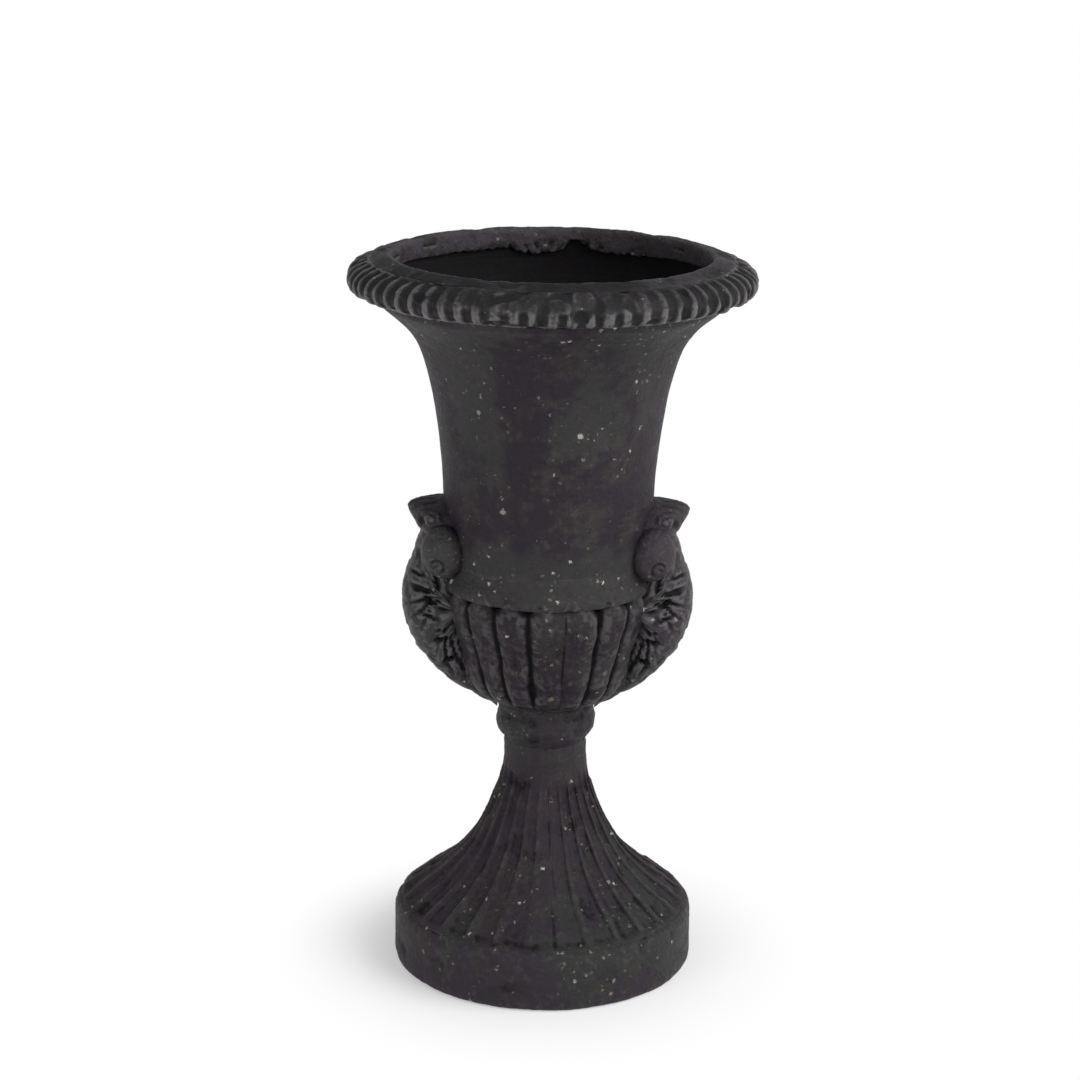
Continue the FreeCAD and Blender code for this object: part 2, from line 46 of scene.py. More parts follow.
def only(piece):
    unpick()
    piece.select_set(True)
    bpy.context.view_layer.objects.active = piece


def between(value, pairs):  # reads a table of (value, result) rows, straight from row to row
    if value <= pairs[0][0]:
        return pairs[0][1]
    for (low, first), (high, last) in zip(pairs, pairs[1:]):
        if value <= high:
            return first + (last - first) * (value - low) / (high - low)
    return pairs[-1][1]


def wander(x, y, z, size, seed=0):  # a slow random swing from -1 to 1, over lengths of about size mm
    return noise.noise(Vector((x / size + seed * 7.3, y / size - seed * 3.1, z / size + seed * 1.7)))


def ease(value):  # 0 to 1, with soft ends
    value = min(max(value, 0), 1)
    return value * value * (3 - 2 * value)


def near(a, b, width):  # 1 where a is b, and 0 from width away
    return ease(1 - abs(a - b) / width)


def throwOnWheel(name, outline, columns, finer=2):
    unpick()
    bpy.ops.mesh.primitive_plane_add(size=0.01, location=(0, 0, 0))
    piece = bpy.context.object
    piece.name = piece.data.name = name
    bpy.ops.object.mode_set(mode="EDIT")
    bpy.ops.mesh.select_all(action="SELECT")
    bpy.ops.mesh.merge(type="CENTER")
    points = [Vector((radius, 0, height)) / 1000 for radius, height in outline]
    bpy.ops.transform.translate(value=points[0])
    for start, end in zip(points, points[1:]):
        bpy.ops.mesh.extrude_vertices_move(TRANSFORM_OT_translate={"value": end - start})
    bpy.ops.mesh.select_all(action="DESELECT")
    wire = bmesh.from_edit_mesh(piece.data)
    for vertex in wire.verts:
        vertex.select = len(vertex.link_edges) == 1  # the two open ends
    wire.select_flush_mode()
    bpy.ops.mesh.edge_face_add()
    bpy.ops.mesh.select_all(action="SELECT")
    bpy.ops.mesh.spin(steps=columns, angle=2 * math.pi, center=(0, 0, 0), axis=(0, 0, 1))
    bpy.ops.mesh.select_all(action="SELECT")
    bpy.ops.mesh.remove_doubles(threshold=0.00002)
    bpy.ops.mesh.normals_make_consistent(inside=False)
    bpy.ops.object.mode_set(mode="OBJECT")
    smooth = piece.modifiers.new("finer", "SUBSURF")
    smooth.levels = smooth.render_levels = finer
    bpy.ops.object.modifier_apply(modifier=smooth.name)
    piece.data.attributes.new("sunk", "FLOAT", "POINT")
    return piece


def press(piece, depth, weightOf, shade):
    # dents the piece by depth mm where weightOf is 1, and paints shade there into its material's colour, by the share
    # shade
    only(piece)
    weights = [min(max(weightOf(*(vertex.co * 1000)), 0), 1) for vertex in piece.data.vertices]
    sunk = [0.0] * len(weights)
    piece.data.attributes["sunk"].data.foreach_get("value", sunk)
    piece.data.attributes["sunk"].data.foreach_set("value", [s + w * shade for s, w in zip(sunk, weights)])
    group = piece.vertex_groups.new(name="pressed")
    for index, weight in enumerate(weights):
        if weight > 0.001:
            group.add([index], weight, "REPLACE")
    dent = piece.modifiers.new("pressed", "DISPLACE")
    dent.vertex_group = group.name
    dent.mid_level = 0
    dent.strength = -depth / 1000
    bpy.ops.object.modifier_apply(modifier=dent.name)
    piece.vertex_groups.clear()


def weather(piece, swell, swellSize, grain, grainSize):
    # uneven hand work and a worn skin: two clouds of noise, depths and sizes in mm
    only(piece)
    for label, depth, size in (("swell", swell, swellSize), ("grain", grain, grainSize)):
        clouds = bpy.data.textures.new(piece.name + label, "CLOUDS")
        clouds.noise_scale = size / 1000
        clouds.noise_depth = 3
        skin = piece.modifiers.new(label, "DISPLACE")
        skin.texture = clouds
        skin.texture_coords = "LOCAL"
        skin.mid_level = 0.5
        skin.strength = 2 * depth / 1000
        bpy.ops.object.modifier_apply(modifier=skin.name)


edgeWearAndShade = {"passes": 10, "mostSunk": 1.6, "mostProud": 1.5}


def wearEdgesShadeHollows(piece, depth):
    # marks proud edges for wear and paints shade into hollows, by how many depths (mm) a smoothed copy of the skin lies
    # under or over it
    mesh = piece.data
    count = len(mesh.vertices)
    spots, normals = np.zeros(count * 3), np.zeros(count * 3)
    mesh.vertices.foreach_get("co", spots)
    mesh.vertices.foreach_get("normal", normals)
    spots, normals = spots.reshape(-1, 3), normals.reshape(-1, 3)
    ends = np.zeros(len(mesh.edges) * 2, dtype=np.int32)
    mesh.edges.foreach_get("vertices", ends)
    first, last = ends[0::2], ends[1::2]
    met = np.maximum(np.bincount(ends, minlength=count), 1)[:, None]
    smooth = spots.copy()
    for _ in range(edgeWearAndShade["passes"]):
        total = np.zeros_like(smooth)
        for axis in range(3):
            total[:, axis] = (np.bincount(first, smooth[last, axis], count)
                              + np.bincount(last, smooth[first, axis], count))
        smooth = 0.5 * smooth + 0.5 * total / met
    rise = ((spots - smooth) * normals).sum(axis=1) * 1000 / depth
    sunk = np.zeros(count, dtype=np.float32)
    mesh.attributes["sunk"].data.foreach_get("value", sunk)
    sunk = np.clip(sunk - np.minimum(rise, 0), 0, edgeWearAndShade["mostSunk"]).astype(np.float32)
    mesh.attributes["sunk"].data.foreach_set("value", sunk)
    mesh.attributes.new("proud", "FLOAT", "POINT")
    proud = np.clip(rise, 0, edgeWearAndShade["mostProud"]).astype(np.float32)
    mesh.attributes["proud"].data.foreach_set("value", proud)


def darken(piece, shareOf):  # painted shade, by shareOf, added to the darkening mark
    sunk = piece.data.attributes["sunk"].data
    for vertex, mark in zip(piece.data.vertices, sunk):
        mark.value += shareOf(*(vertex.co * 1000))


def keepWithin(piece, radius, top):  # mm; nothing stands out of the urn's own size, or under its floor
    for vertex in piece.data.vertices:
        reach = math.hypot(vertex.co.x, vertex.co.y) * 1000
        if reach > radius:
            vertex.co.x *= radius / reach
            vertex.co.y *= radius / reach
        vertex.co.z = min(max(vertex.co.z, 0), top / 1000)


def finishPiece(piece, finish, slot, *nodes, depth=0.35):
    wearEdgesShadeHollows(piece, depth)
    only(piece)
    bpy.ops.object.shade_smooth()
    piece.data.materials.clear()
    piece.data.materials.append(finish)
    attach(piece, "root")
    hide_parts(*nodes)
    print(piece.name, len(piece.data.polygons), "faces")


def heading(x, y):  # degrees round the axis from the front, to the right
    return math.degrees(math.atan2(x, -y))


# clay finishes

class Flow:  # a shader socket that takes part in sums as a number does
    def __init__(self, bench, socket):
        self.bench, self.socket = bench, socket

    def work(self, operation, first, second):
        return self.bench.node("ShaderNodeMath", {"operation": operation}, {0: first, 1: second})

    def __add__(self, other):
        return self.work("ADD", self, other)

    def __radd__(self, other):
        return self.work("ADD", other, self)

    def __sub__(self, other):
        return self.work("SUBTRACT", self, other)

    def __rsub__(self, other):
        return self.work("SUBTRACT", other, self)

    def __mul__(self, other):
        return self.work("MULTIPLY", self, other)

    def __rmul__(self, other):
        return self.work("MULTIPLY", other, self)


class Bench:  # one material's node tree
    def __init__(self, name):
        self.material = bpy.data.materials.new(name)
        self.material.use_nodes = True
        self.tree = self.material.node_tree
        self.tree.nodes.clear()

    def node(self, kind, settings, sockets, output=0):
        made = self.tree.nodes.new(kind)
        for setting, value in settings.items():
            if setting == "stops":
                while len(made.color_ramp.elements) < len(value):
                    made.color_ramp.elements.new(1)
                for stop, (place, colour) in zip(made.color_ramp.elements, value):
                    stop.position, stop.color = place, colour
            else:
                setattr(made, setting, value)
        for place, value in sockets.items():
            if isinstance(value, Flow):
                self.tree.links.new(value.socket, made.inputs[place])
            else:
                made.inputs[place].default_value = value
        return Flow(self, made.outputs[output]) if len(made.outputs) else None

    def noise(self, place, scale, detail, rough, output=0):
        return self.node("ShaderNodeTexNoise", {"noise_dimensions": "3D"},
                         {"Vector": place, "Scale": scale, "Detail": detail, "Roughness": rough}, output)

    def step(self, value, low, high):  # 0 under low, 1 over high
        return self.node("ShaderNodeMapRange", {"interpolation_type": "SMOOTHSTEP"},
                         {"Value": value, "From Min": low, "From Max": high, "To Min": 0.0, "To Max": 1.0})

    def blend(self, share, first, second):
        return self.node("ShaderNodeMix", {"data_type": "RGBA"}, {0: share, 6: first, 7: second}, 2)

    def finish(self, surface):
        self.node("ShaderNodeOutputMaterial", {}, {"Surface": surface})
        return self.material


def grey(red, green, blue):
    return (red, green, blue, 1)


clayGrain = {  # how many swings of the noise to a metre, its detail and its roughness
    "broad": (11, 3, 0.55), "patch": (46, 6, 0.66), "mottle": (190, 7, 0.72), "grain": (900, 4, 0.65),
    "pitted": (360, 6, 0.7), "frayed": (620, 6, 0.8), "frayReach": 0.0085,
    "bumpStrength": 0.9, "bumpDepth": 0.0014,
    "flecks": ((48, 0.17, 0.91, 0.95), (105, 0.28, 0.85, 0.9), (240, 0.40, 0.78, 0.8)),  # scale, size, rarity, share
}


def blackClay(name, look):
    bench = Bench(name)
    place = bench.node("ShaderNodeTexCoord", {}, {}, "Object")
    sunk = bench.node("ShaderNodeAttribute", {"attribute_name": "sunk"}, {}, "Fac")
    proud = bench.node("ShaderNodeAttribute", {"attribute_name": "proud"}, {}, "Fac")
    broad = bench.noise(place, *clayGrain["broad"])
    patch = bench.noise(place, *clayGrain["patch"])
    mottle = bench.noise(place, *clayGrain["mottle"])
    grain = bench.noise(place, *clayGrain["grain"])
    pitted = bench.noise(place, *clayGrain["pitted"])
    colour = bench.blend(bench.step(patch, 0.44, 0.62) * 0.8, look["body"], look["brown"])
    height = bench.node("ShaderNodeSeparateXYZ", {}, {0: place}, 2)
    film = bench.step(height + (patch - 0.5) * 0.05, look["film"], look["film"] - 0.03) * 0.1  # more moss low down
    mossy = bench.step(broad + film + (patch - 0.5) * 0.5, 0.47, 0.58) * look["mossShare"]
    colour = bench.blend(mossy, colour, look["moss"])
    colour = bench.blend(bench.step(mottle + (patch - 0.5) * 0.4, 0.50, 0.74) * 0.75, colour, look["ash"])
    colour = bench.blend(bench.step(mottle, 0.46, 0.28) * look["sootShare"], colour, look["soot"])
    colour = bench.blend(bench.step(proud + (mottle - 0.5) * 1.8, 0.25, 1.2) * look["wear"], colour, look["worn"])
    # painted shade: the darkest colour goes where the mark of painted shade is high, in hollows, creases, inside the
    # bell and on the rim's tops
    colour = bench.blend(bench.step(sunk + (mottle - 0.5) * 0.5, 0.15, 1.05) * 0.9, colour, look["soot"])
    frayed = bench.node("ShaderNodeVectorMath", {"operation": "MULTIPLY_ADD"},
                        {0: bench.noise(place, *clayGrain["frayed"], 1), 1: (clayGrain["frayReach"],) * 3, 2: place})
    gathered = (broad - 0.5) * look["gather"] + (patch - 0.5) * 1.9 - bench.step(sunk, 0.8, 1.1)
    chipped = None
    for scale, size, rare, strength in clayGrain["flecks"]:
        cell = {"Vector": frayed, "Scale": scale, "Randomness": 1.0}
        far = bench.node("ShaderNodeTexVoronoi", {"feature": "F1"}, cell, "Distance")
        hue = bench.node("ShaderNodeTexVoronoi", {"feature": "F1"}, cell, "Color")
        chance = bench.node("ShaderNodeSeparateColor", {}, {0: hue}, 0)
        largeness = bench.node("ShaderNodeSeparateColor", {}, {0: hue}, 1)
        tint = bench.node("ShaderNodeSeparateColor", {}, {0: hue}, 2)
        chosen = bench.step(chance + gathered, rare, rare + 0.02)
        fleck = bench.step(size * (0.3 + 0.7 * largeness * largeness) - far, 0.0, 0.05) * chosen * strength
        colour = bench.blend(fleck, colour, bench.node("ShaderNodeValToRGB", {"stops": look["flecks"]}, {0: tint}))
        chipped = fleck if chipped is None else chipped + fleck
    rough = look["rough"] + (mottle - 0.5) * 0.5 + (patch - 0.5) * 0.35 + chipped * 0.2 + sunk * 0.2 - proud * 0.1
    relief = mottle * 1.1 + grain * look["grain"] + pitted * 0.9 - chipped * 0.5
    if look["rings"]:
        turned = bench.node("ShaderNodeMapping", {"vector_type": "POINT"}, {"Vector": place, "Scale": (6, 6, 420)})
        relief = relief + bench.noise(turned, 1, 3, 0.6) * look["rings"]
    bump = bench.node("ShaderNodeBump", {}, {"Strength": clayGrain["bumpStrength"],
                                               "Distance": clayGrain["bumpDepth"], "Height": relief})
    surface = bench.node("ShaderNodeBsdfPrincipled", {},
                         {"Base Color": colour, "Roughness": rough, "Normal": bump,
                          "Specular IOR Level": look["shine"]})
    return bench.finish(surface)


clayLook = {
    "body": grey(0.0205, 0.0145, 0.0222), "brown": grey(0.027, 0.0200, 0.020), "moss": grey(0.028, 0.029, 0.0265),
    "ash": grey(0.052, 0.045, 0.052), "soot": grey(0.004, 0.0033, 0.0042), "worn": grey(0.095, 0.088, 0.095),
    "wear": 0.5, "mossShare": 0.8, "sootShare": 0.6, "gather": 1.0,
    "film": 0.0,  # m above the floor, under which more moss grows
    "flecks": [(0.0, grey(0.08, 0.072, 0.058)), (0.4, grey(0.17, 0.15, 0.11)), (0.75, grey(0.30, 0.29, 0.27)),
               (1.0, grey(0.62, 0.60, 0.55))],
    "rough": 0.56, "shine": 0.17, "grain": 0.35, "rings": 0.0,
}
footLook = {"body": grey(0.0262, 0.0192, 0.0278), "wear": 0.25, "sootShare": 0.2}
bowlLook = {"body": grey(0.0165, 0.0110, 0.0180), "ash": grey(0.036, 0.031, 0.036), "mossShare": 0.6, "rough": 0.52,
            "shine": 0.145}
bellLook = {"body": grey(0.0190, 0.0130, 0.0208), "moss": grey(0.035, 0.036, 0.0325), "mossShare": 0.65,
            "film": 0.350, "rings": 0.6, "wear": 0.3}
ledgeLook = {**bellLook, "body": grey(0.0260, 0.0200, 0.0270), "wear": 0.7, "gather": 1.7}
# the rim's worn colour, paler than elsewhere, is partly real wear on the ribs' crests and partly a painted glint
rimLook = {"body": grey(0.0175, 0.0120, 0.0185), "worn": grey(0.125, 0.117, 0.125), "mossShare": 0.4, "rough": 0.38,
           "shine": 0.30, "wear": 0.8, "gather": 1.7}
# the lip's body is painted much paler than the roll's clay: painted light on the inner face at the back of the mouth
lipLook = {"body": grey(0.0480, 0.0390, 0.0490), "mossShare": 0.3, "rough": 0.44, "shine": 0.24, "wear": 0.7,
           "gather": 1.3}
handleLook = {"body": grey(0.0310, 0.0232, 0.0325), "worn": grey(0.105, 0.098, 0.105), "rough": 0.46, "shine": 0.28,
              "sootShare": 0.5, "gather": 1.5, "wear": 0.75}
footClay = blackClay("footClay", {**clayLook, **footLook})
bowlClay = blackClay("bowlClay", {**clayLook, **bowlLook})
bellClay = blackClay("bellClay", {**clayLook, **bellLook})
ledgeClay = blackClay("ledgeClay", {**clayLook, **ledgeLook})
rimClay = blackClay("rimClay", {**clayLook, **rimLook})
lipClay = blackClay("lipClay", {**clayLook, **lipLook})
handleClay = blackClay("handleClay", {**clayLook, **handleLook})
print("clay finishes made")


# foot

plinthShape = {
    "outline": [(98, 0), (110.5, 0), (113.6, 0.7), (114.9, 3), (115, 10), (114.7, 20), (114.9, 30), (114.6, 37),
                (113.9, 41), (112.4, 44), (110.2, 45.6), (108, 46), (105.8, 46), (105.5, 44), (105.5, 37.3), (98.3, 37),
                (98, 34), (98, 14)],
    "columns": 96, "hollow": 1.3, "chip": 1.1, "weather": (0.8, 30, 0.35, 4),
}
plinth = throwOnWheel("plinthRing", plinthShape["outline"], plinthShape["columns"])
press(plinth, plinthShape["hollow"], lambda x, y, z: ease(wander(x, y, z, 34, 1) * 1.6) * near(z, 24, 24), 0.1)
press(plinth, plinthShape["chip"], lambda x, y, z: ease(wander(x, y, z, 13, 2) * 2 - 0.25) * near(z, 42, 13), 0.2)
weather(plinth, *plinthShape["weather"])
keepWithin(plinth, 116, 48)
finishPiece(plinth, footClay, "foot_clay", "plinth_ring")

pedestalShape = {
    "outline": [(105.2, 37), (105.2, 43.5), (108, 44.2), (110.6, 44.9), (109.4, 46.6), (106.4, 49.2), (103.5, 51.6),
                (99.5, 54.9), (95.8, 58), (91.5, 61), (87, 64), (83, 67), (79.4, 70), (76, 73), (72.7, 76), (68.5, 80),
                (64.8, 84), (61.4, 88), (58.4, 92), (55.6, 96), (53.2, 100), (50.3, 105), (47.8, 110), (45.5, 115),
                (43.4, 120), (41.2, 125), (39.2, 130), (37, 136), (35.2, 142), (33.4, 149), (32.1, 155), (31.3, 161),
                (31.2, 167), (31.3, 173), (31.4, 178), (28, 178), (23.7, 178), (23.7, 190), (23.7, 202), (14, 202),
                (14, 183), (14, 164), (24, 136), (31.4, 117), (42, 95), (53, 81), (75, 60), (98, 43), (98, 37)],
    "columns": 112, "flutes": 28, "fluteDepth": 3.0, "creaseDepth": 0.9, "troughDepth": 1.3, "chip": 1.0,
    "weather": (0.8, 22, 0.35, 3.5),
    "core": [(40, 106), (47, 100), (58, 88), (76, 66), (100, 46), (130, 32), (155, 26)],  # (height, radius) left plain
}


def fluteShare(x, y, z):  # which flute, and from 0 in its middle to 1 on the ridge beside it
    drift = wander(x, y, z, 46, 3) * 1.6
    turn = (heading(x, y) + drift) / 360 * pedestalShape["flutes"] + 0.5
    return turn, abs((turn % 1) - 0.5) * 2


def troughDepth(x, y, z):  # the worn trough where the flutes meet the plinth, open towards the front and left
    side = heading(x, y)
    return near(z, 48.4, 3.6) * near(side, -10, 50) * (0.75 + 0.5 * wander(x, y, z, 15, 41))


def fluteDepth(x, y, z):
    if math.hypot(x, y) < between(z, pedestalShape["core"]):
        return 0
    turn, ridge = fluteShare(x, y, z)
    worn = 0.8 + 0.4 * wander(math.floor(turn) * 31, 0, z, 25, 4) - 0.5 * near(heading(x, y), -3, 46)
    valley = 1 - ease((ridge - 0.25) / 0.75) ** 1.2
    valley = max(valley, 0.85 * near(heading(x, y), 6.4, 8))  # one ridge beside the front has worn away
    ends = ease((z - 46.5) / 5) * ease((158 + 5 * wander(math.floor(turn) * 17, 0, 0, 9, 5) - z) / 18)
    return valley * ends * worn


def creaseDepth(x, y, z):  # a thin dark crease at the foot of each ridge
    return near(fluteShare(x, y, z)[0] % 1, 0.88, 0.13) * min(fluteDepth(x, y, z) * 2, 1)


pedestal = throwOnWheel("flutedPedestal", pedestalShape["outline"], pedestalShape["columns"])
press(pedestal, pedestalShape["fluteDepth"], fluteDepth, 0.1)
# the creases and the worn trough also get painted shade
press(pedestal, pedestalShape["creaseDepth"], creaseDepth, 0.75)
press(pedestal, pedestalShape["troughDepth"], troughDepth, 0.7)
press(pedestal, pedestalShape["chip"], lambda x, y, z: ease(wander(x, y, z, 16, 6) * 2 - 0.3) if z > 46 else 0, 0.15)
weather(pedestal, *pedestalShape["weather"])
finishPiece(pedestal, footClay, "foot_clay", "fluted_pedestal", depth=0.55)

collarShape = {
    "outline": [(31.5, 176.6), (32.2, 178.8), (33.9, 181.2), (35.8, 184.2), (37.2, 187.6), (37.9, 191), (37.8, 194),
                (37.1, 196.8), (36.3, 199), (36.1, 200.5), (36.4, 201.8), (36.8, 203.5), (36.9, 205.6),
                (36.2, 208), (34.6, 209.5), (30, 209.5), (24, 209.5), (24, 200), (24, 189), (24, 178), (28, 176.8)],
    "columns": 80, "dent": 1.5, "weather": (1.0, 14, 0.4, 3.5),
}


def collarDent(x, y, z):
    return ease(wander(x, y, z, 15, 7) * 2.2 - 0.15) if math.hypot(x, y) > 29 else 0


collar = throwOnWheel("neckCollar", collarShape["outline"], collarShape["columns"])
press(collar, collarShape["dent"], collarDent, 0.4)
weather(collar, *collarShape["weather"])
finishPiece(collar, footClay, "foot_clay", "neck_collar")
print("foot done")


# bowl

bowlShape = {
    "outline": [(38, 209.5), (45, 211.6), (52, 215.6), (57, 220.4), (60.6, 225.6), (63.6, 232), (66, 239),
                (68.2, 247), (70.3, 255), (72.6, 262), (75, 269), (77, 275), (78.7, 281), (79.8, 287), (80.3, 292),
                (80, 296.5), (78.4, 300), (75.4, 302.2), (70, 302.5), (63.5, 302.5), (63.2, 290), (60.5, 275),
                (54, 250), (43, 232), (27, 223.5), (9, 223.5), (9, 213), (9, 202.5), (23.7, 202.5), (23.7, 209.5)],
    "columns": 90, "lobes": 18, "lobeDepth": 6.0, "dent": 1.1, "weather": (0.9, 20, 0.4, 3.5),
    "core": [(209, 36), (215, 46), (225, 54), (240, 58), (256, 62), (280, 71), (303, 71)],  # as on the pedestal
}


def lobeGroove(x, y, z):
    if math.hypot(x, y) < between(z, bowlShape["core"]):
        return 0
    drift = wander(x, y, z, 50, 8) * 1.1 + 0.5 * wander(x, y, z, 12, 9)
    turn = (heading(x, y) + drift) / 360 * bowlShape["lobes"] + 0.5
    off = abs((turn % 1) - 0.5) * 2
    crown = ease((z - 286) / 14)  # the lobes end in domes under the ledge
    bulge = 1 - math.sqrt(max(1 - off ** 2.6, 0))
    filled = 1 - 0.72 * near(heading(x, y), 10, 9)  # slip has nearly filled one groove beside the front
    return max(bulge, crown * off ** 1.7 * 0.9) * ease((z - 211) / 12) * filled


bowl = throwOnWheel("gadroonedBowl", bowlShape["outline"], bowlShape["columns"])
# the grooves between the lobes also get painted shade
press(bowl, bowlShape["lobeDepth"], lobeGroove, 0.8)
press(bowl, bowlShape["dent"], lambda x, y, z: ease(wander(x, y, z, 18, 10) * 2 - 0.3), 0.15)
weather(bowl, *bowlShape["weather"])
finishPiece(bowl, bowlClay, "bowl_clay", "gadrooned_bowl")

ledgeShape = {
    "outline": [(68, 299.5), (74, 298.8), (78.6, 299.4), (80.6, 301.4), (81.1, 304), (80.6, 306.6), (79.3, 309.2),
                (78.0, 311.8), (77.1, 314.4), (76.5, 317.5), (76.15, 320), (75.6, 322.5), (74.4, 324.5), (73, 320),
                (70, 314), (68, 313.5), (67.8, 306)],
    "columns": 120, "dent": 1.3, "weather": (0.45, 16, 0.25, 4),
}
ledge = throwOnWheel("shoulderMoulding", ledgeShape["outline"], ledgeShape["columns"])
press(ledge, ledgeShape["dent"], lambda x, y, z: ease(wander(x, y, z, 13, 11) * 2.2 - 0.2) * near(z, 304, 8), 0.2)
weather(ledge, *ledgeShape["weather"])
finishPiece(ledge, ledgeClay, "bowl_clay", "shoulder_moulding")

bellShape = {
    "outline": [(75.5, 313), (76.2, 325), (77.3, 340), (78.2, 355), (79, 370), (79.7, 385), (80.5, 398), (81.7, 410),
                (82.8, 421), (84.6, 432), (86.6, 443), (88.6, 452), (90.9, 461), (93.4, 470), (96, 478), (98.8, 484.8),
                (102.6, 491), (107.5, 497.2), (113.4, 502.8), (119.6, 508), (124.6, 511.8), (126.8, 514),
                (127.1, 516), (128.2, 518.4), (131, 520), (135.6, 520.4), (135.8, 520.9), (128.2, 521), (128, 531),
                (128, 540.8), (120.2, 540.8), (120, 532), (119.4, 524), (114.5, 515), (106, 506), (97, 497),
                (88, 486), (82, 475), (77.2, 460), (73.5, 440), (70.6, 420), (68.4, 398), (67, 370), (65.2, 340),
                (63.5, 313.5), (63.5, 302.8), (67.6, 302.8), (67.6, 313)],
    "columns": 96, "ringDepth": 0.9, "ringPitch": 5.2, "hollow": 0.9, "weather": (0.55, 42, 0.16, 4), "insideSoot": 1.1,
    "insideOf": [(303, 68), (398, 75), (440, 80), (475, 89), (497, 102), (515, 119), (541, 123)],  # (height, radius)
}


def throwingLine(x, y, z):  # shallow rings inside, left by the potter's fingers
    if not inside(x, y, z):
        return 0
    ring = z + 3 * wander(x, y, z, 60, 12)
    return 0.5 + 0.5 * math.sin(ring / bellShape["ringPitch"] * 2 * math.pi) * (0.6 + 0.4 * wander(x, y, z, 30, 13))


def inside(x, y, z):
    return math.hypot(x, y) < between(z, bellShape["insideOf"])


bell = throwOnWheel("bell", bellShape["outline"], bellShape["columns"])
press(bell, bellShape["ringDepth"], throwingLine, 0.15)
press(bell, bellShape["hollow"], lambda x, y, z: ease(wander(x, y, z, 60, 14) * 1.6), 0.05)
weather(bell, *bellShape["weather"])
# painted shade inside the bell's mouth
darken(bell, lambda x, y, z: bellShape["insideSoot"] if inside(x, y, z) else 0)
finishPiece(bell, bellClay, "bowl_clay", "bell")
print("bowl and bell done")


# rim

rollShape = {
    "outline": [(128.4, 521), (134, 520.6), (139.6, 520.9), (143.6, 521.6), (147, 523.2), (149.4, 526), (150.6, 529.6),
                (150.5, 533.4), (149.2, 537), (146.4, 540.2), (142.4, 542.8), (137.6, 544.6), (133.6, 545.3),
                (131.6, 545.2), (131.4, 543), (131.4, 541), (128.4, 541), (128.3, 531)],
    "columns": 210, "ribs": 70, "ribDepth": 3.0, "dent": 1.6, "weather": (0.7, 18, 0.35, 3.5),
}


def ribGroove(x, y, z):
    reach = math.hypot(x, y)
    outward = ease((reach - 133.5) / 4) if z > 530 else ease((reach - 138) / 5)
    around = heading(x, y)
    drift = wander(x, y, z, 70, 15) * 0.8 + 0.3 * wander(x, y, z, 9, 16)
    turn = (around + drift) / 360 * rollShape["ribs"]
    crest = abs((turn % 1) - 0.5) * 2  # 1 on a thin crest, 0 in the valley between two
    front = near(abs(around), 0, 66)  # the ribs facing the front have lost their upper halves
    lost = 1 - 0.9 * front * ease((z - 529) / 6 + 0.5 * wander(x, y, z, 22, 17))
    valley = 1 - ease((crest - 0.35 + 0.25 * front) / 0.65)
    return (0.08 + 0.92 * valley) * outward * lost * (0.85 + 0.3 * wander(x, y, z, 26, 18))


def rollPaintedShade(x, y, z):  # painted shade on the upper half, all but at the back
    return (0.75 + 0.7 * wander(x, y, z, 15, 44)) * near(abs(heading(x, y)), 0, 120) * ease((z - 529) / 8)


roll = throwOnWheel("rimRoll", rollShape["outline"], rollShape["columns"])
# the valleys between the ribs also get painted shade
press(roll, rollShape["ribDepth"], ribGroove, 0.8)
press(roll, rollShape["dent"], lambda x, y, z: ease(wander(x, y, z, 13, 19) * 2.4 - 0.2), 0.45)
darken(roll, rollPaintedShade)
weather(roll, *rollShape["weather"])
keepWithin(roll, 150.9, 546)
finishPiece(roll, rimClay, "rim_clay", "rim_roll")

lipShape = {
    "outline": [(131.2, 541.2), (132.6, 543.6), (133.6, 544.9), (132, 546.1), (129.4, 547), (126, 548.1),
                (122.6, 549), (119.6, 549.3), (117.4, 548.6), (116.2, 546.8), (115.9, 543), (115.9, 538),
                (116.4, 533.4), (118, 532.8), (119.5, 533.4), (119.7, 537), (119.7, 541), (125, 541)],
    "columns": 150, "pitDepth": 1.0, "dent": 1.2, "weather": (0.7, 24, 0.4, 4),
}


def atBack(x, y):  # 1 at the back of the mouth, and 0 from 60 degrees away
    return near(abs(heading(x, y)), 180, 60)


def hangSkirt(x, y):  # mm that the clay lapped down inside the mouth hangs lower, in rags at the back
    torn = 2.5 + 9 * wander(x, y, 0, 30, 20) + 2.2 * wander(x, y, 0, 4, 21)
    return atBack(x, y) * (torn - 9 * near(heading(x, y), 171, 7))


def skirtPit(x, y, z):
    return atBack(x, y) * ease((541 - z) / 6) * ease(wander(x, y, z, 6, 42) * 2)


def lipPaintedShade(x, y, z):  # painted shade on top, all but at the back and along the inner edge
    patches = 0.5 + 0.35 * near(heading(x, y), -10, 70) + 0.6 * wander(x, y, z, 20, 43)
    return patches * ease((160 - abs(heading(x, y))) / 40) * ease((math.hypot(x, y) - 118.5) / 3)


lip = throwOnWheel("mouthLip", lipShape["outline"], lipShape["columns"])
for vertex in lip.data.vertices:
    x, y, z = vertex.co * 1000
    vertex.co.z -= hangSkirt(x, y) * ease((541 - z) / 7) / 1000
darken(lip, lipPaintedShade)
press(lip, lipShape["pitDepth"], skirtPit, 0.3)
press(lip, lipShape["dent"], lambda x, y, z: ease(wander(x, y, z, 19, 22) * 2 - 0.2) if z > 541 else 0, 0.1)
weather(lip, *lipShape["weather"])
keepWithin(lip, 134.5, 550)
finishPiece(lip, lipClay, "rim_clay", "mouth_lip")
print("rim done")


# handles

